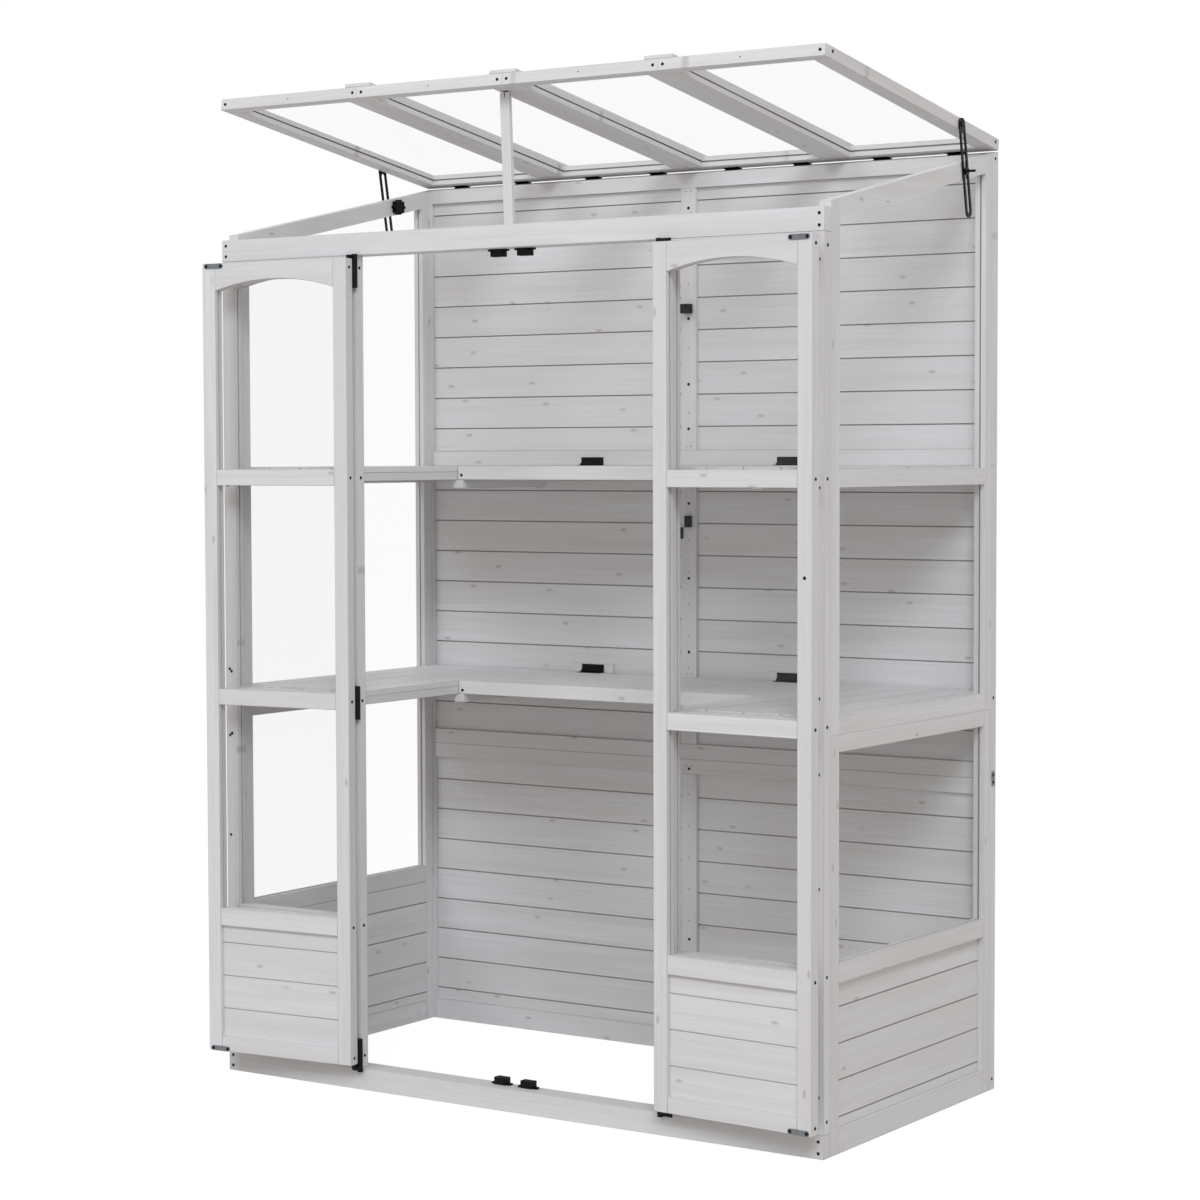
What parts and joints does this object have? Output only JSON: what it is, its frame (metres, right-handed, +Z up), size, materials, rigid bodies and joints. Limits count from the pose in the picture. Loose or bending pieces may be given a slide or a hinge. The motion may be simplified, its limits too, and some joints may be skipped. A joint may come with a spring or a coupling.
{
  "type": "wooden mini greenhouse",
  "caption": "White wooden lean-to greenhouse with arched glazed doors, a hinged glazed lid on slotted stays, boarded back and folding shelves.",
  "frame": {"origin": "on the ground under the front bottom rail, in the middle of the width, 15 mm behind the front face", "axes": "+X to the right of a person facing the doors, +Y from the doors to the back wall, +Z up"},
  "size_m": [1.488, 0.7893, 2.0508],
  "materials": {
    "white_wood": "thin white wash with faint grain, satin",
    "clear_pane": "clear smooth sheet",
    "black_metal": "black coating, satin",
    "bright_steel": "zinc plated",
    "black_plastic": "black moulded"
  },
  "bodies": {
    "greenhouse": {"front_bottom_rail": "white_wood", "front_top_rail": "white_wood", "left_front_panel_frame": "white_wood", "right_front_panel_frame": "white_wood", "front_panel_boards": "white_wood", "front_panel_panes": "clear_pane", "left_side_lower_frame": "white_wood", "left_side_upper_frame": "white_wood", "right_side_lower_frame": "white_wood", "right_side_upper_frame": "white_wood", "side_wall_boards": "white_wood", "side_wall_panes": "clear_pane", "back_wall_lower_frame": "white_wood", "back_wall_middle_frame": "white_wood", "back_wall_upper_frame": "white_wood", "back_wall_lower_boards": "white_wood", "back_wall_middle_boards": "white_wood", "back_wall_upper_boards": "white_wood", "left_lower_shelf": "white_wood", "left_upper_shelf": "white_wood", "right_lower_shelf": "white_wood", "right_upper_shelf": "white_wood", "shelf_cleats": "white_wood", "shelf_hinge_wall_leaves": "black_metal", "shelf_catches": "black_plastic", "magnetic_catches": "black_plastic", "door_hinge_jamb_leaves": "black_metal", "hinge_pins": "black_metal", "joining_plates": "bright_steel", "wall_screws": "black_metal", "lid_hinge_wall_leaves": "black_metal", "stay_nuts": "black_metal"},
    "lid": {"lid_panel_1": "white_wood", "lid_panel_2": "white_wood", "lid_panel_3": "white_wood", "lid_panel_4": "white_wood", "lid_panes": "clear_pane", "lid_cover_strips": "white_wood", "lid_hinge_leaves": "black_metal", "lid_screws": "black_metal", "lid_pivots": "black_metal"},
    "left_stay": {"left_lid_stay": "black_metal"},
    "left_knob": {"left_stay_knob": "black_plastic"},
    "right_stay": {"right_lid_stay": "black_metal"},
    "right_knob": {"right_stay_knob": "black_plastic"},
    "prop": {"lid_prop": "white_wood"},
    "left_door": {"left_door_frame": "white_wood", "left_door_boards": "white_wood", "left_door_panes": "clear_pane", "left_door_hinge_leaves": "black_metal", "left_door_strike_plates": "bright_steel"},
    "right_door": {"right_door_frame": "white_wood", "right_door_boards": "white_wood", "right_door_panes": "clear_pane", "right_door_hinge_leaves": "black_metal", "right_door_strike_plates": "bright_steel"},
    "lower_back_shelf": {"back_lower_shelf": "white_wood", "back_lower_shelf_hinge_leaves": "black_metal"},
    "upper_back_shelf": {"back_upper_shelf": "white_wood", "back_upper_shelf_hinge_leaves": "black_metal"}
  },
  "joints": [
    {"name": "left_door_hinge", "type": "hinge", "parent": "greenhouse", "child": "left_door", "pos_m": [-0.362, -0.0207, 0.9], "axis": [0, 0, 1], "range_deg": [-4, 175]},
    {"name": "right_door_hinge", "type": "hinge", "parent": "greenhouse", "child": "right_door", "pos_m": [0.3667, -0.0207, 0.9], "axis": [0, 0, -1], "range_deg": [-3.5, 176.5]},
    {"name": "lid_hinge", "type": "hinge", "parent": "greenhouse", "child": "lid", "pos_m": [0, 0.7043, 1.91011], "axis": [-1, 0, 0], "range_deg": [-20.7, 4]},
    {"name": "left_stay_pivot", "type": "hinge", "parent": "lid", "child": "left_stay", "pos_m": [-0.7225, 0.53115, 1.94869], "axis": [-1, 0, 0], "range_deg": [-3, 1]},
    {"name": "left_knob_turn", "type": "hinge", "parent": "greenhouse", "child": "left_knob", "pos_m": [-0.7, 0.548, 1.85752], "axis": [1, 0, 0], "continuous": true},
    {"name": "right_stay_pivot", "type": "hinge", "parent": "lid", "child": "right_stay", "pos_m": [0.7225, 0.53115, 1.94869], "axis": [-1, 0, 0], "range_deg": [-3, 1]},
    {"name": "right_knob_turn", "type": "hinge", "parent": "greenhouse", "child": "right_knob", "pos_m": [0.7, 0.548, 1.85752], "axis": [1, 0, 0], "continuous": true},
    {"name": "prop_pivot", "type": "hinge", "parent": "lid", "child": "prop", "pos_m": [-0.021, 0.0295, 2.00687], "axis": [-1, 0, 0], "range_deg": [-2.5, 11]},
    {"name": "lower_back_shelf_fold", "type": "hinge", "parent": "greenhouse", "child": "lower_back_shelf", "pos_m": [0, 0.6707, 0.8223], "axis": [-1, 0, 0], "range_deg": [0, 87]},
    {"name": "upper_back_shelf_fold", "type": "hinge", "parent": "greenhouse", "child": "upper_back_shelf", "pos_m": [0, 0.6707, 1.2803], "axis": [-1, 0, 0], "range_deg": [0, 87]}
  ],
  "couplings": [
    {"joint": "left_stay_pivot", "follows": "lid_hinge", "ratio": 0.1},
    {"joint": "right_stay_pivot", "follows": "lid_hinge", "ratio": 0.1},
    {"joint": "prop_pivot", "follows": "lid_hinge", "ratio": -0.5}
  ]
}
